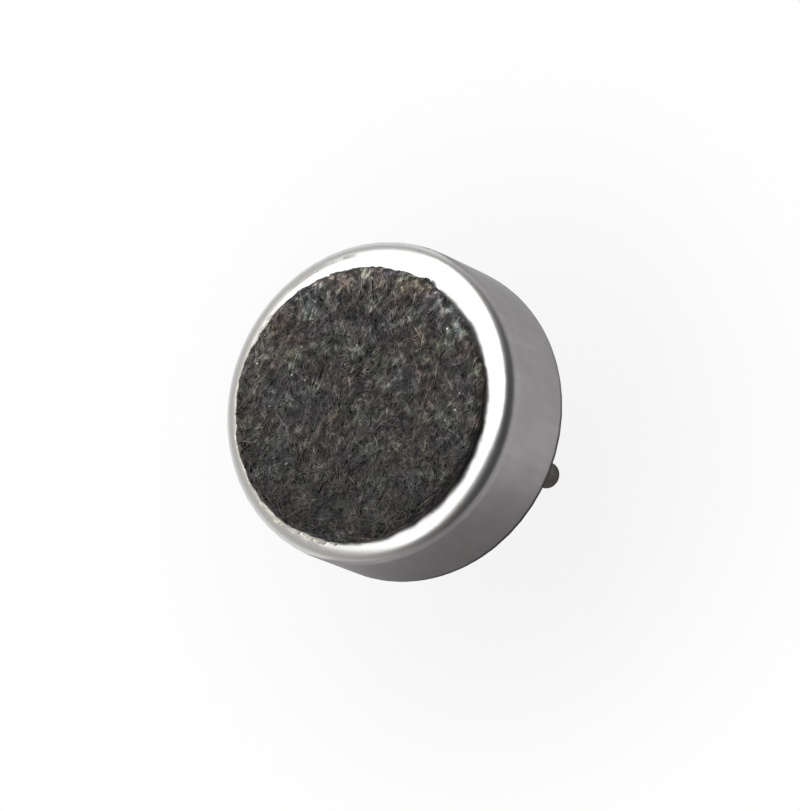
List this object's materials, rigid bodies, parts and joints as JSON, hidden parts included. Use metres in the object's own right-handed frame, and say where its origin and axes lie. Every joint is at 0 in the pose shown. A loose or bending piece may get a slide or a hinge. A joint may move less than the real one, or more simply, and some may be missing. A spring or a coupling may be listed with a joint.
{
  "type": "electret microphone capsule",
  "caption": "Small round electret microphone for a phone: drawn metal can with a black dust felt on its face, crimped rear edge and solder pins on a circuit board.",
  "frame": {"origin": "centre of the plane of the crimped rear lip, on the can's axis and midway between the pins", "axes": "+Z along the can's axis out of the sound inlet, +X from the ground pin to the output pin"},
  "size_m": [0.006, 0.006, 0.0053],
  "materials": {
    "case_aluminium": "drawn sheet, satin, bright on the front rim",
    "black_felt": "non-woven polyester felt, charcoal with paler fibres",
    "felt_glue": "thin cream contact adhesive",
    "brass_sheet": "punched sheet, bare",
    "metallised_film": "polyester film with a vapour-deposited metal coat",
    "clear_polymer": "milky polymer film",
    "chamber_plastic": "moulded black plastic",
    "board_laminate": "glass-fibre laminate, cut edge",
    "bare_copper": "etched copper",
    "tinned_copper": "copper with a hot tin coat",
    "resist_green": "solder resist",
    "package_black": "moulded semiconductor package",
    "lead_tin": "matt tin plate",
    "capacitor_ceramic": "fired brown ceramic",
    "solder": "tin solder, a little dull",
    "pin_metal": "tinned wire, oxidised dark"
  },
  "bodies": {
    "root": {"case": "case_aluminium", "dust_felt": "black_felt", "felt_adhesive": "felt_glue", "diaphragm_ring": "brass_sheet", "diaphragm": "metallised_film", "spacer": "clear_polymer", "electret_film": "clear_polymer", "back_plate": "brass_sheet", "chamber": "chamber_plastic", "gate_ring": "brass_sheet", "circuit_board": "board_laminate", "gate_land": "bare_copper", "output_via": "bare_copper", "ground_via": "bare_copper", "output_track": "bare_copper", "ground_track": "bare_copper", "rear_output_copper": "tinned_copper", "rear_ground_copper": "tinned_copper", "solder_resist": "resist_green", "fet_body": "package_black", "fet_gate_lead": "lead_tin", "fet_drain_lead": "lead_tin", "fet_source_lead": "lead_tin", "capacitor_1": "capacitor_ceramic", "capacitor_2": "capacitor_ceramic", "capacitor_1_ends": "lead_tin", "capacitor_2_ends": "lead_tin", "component_solder": "solder", "output_pin": "pin_metal", "ground_pin": "pin_metal", "output_solder": "solder", "ground_solder": "solder"}
  },
  "joints": []
}
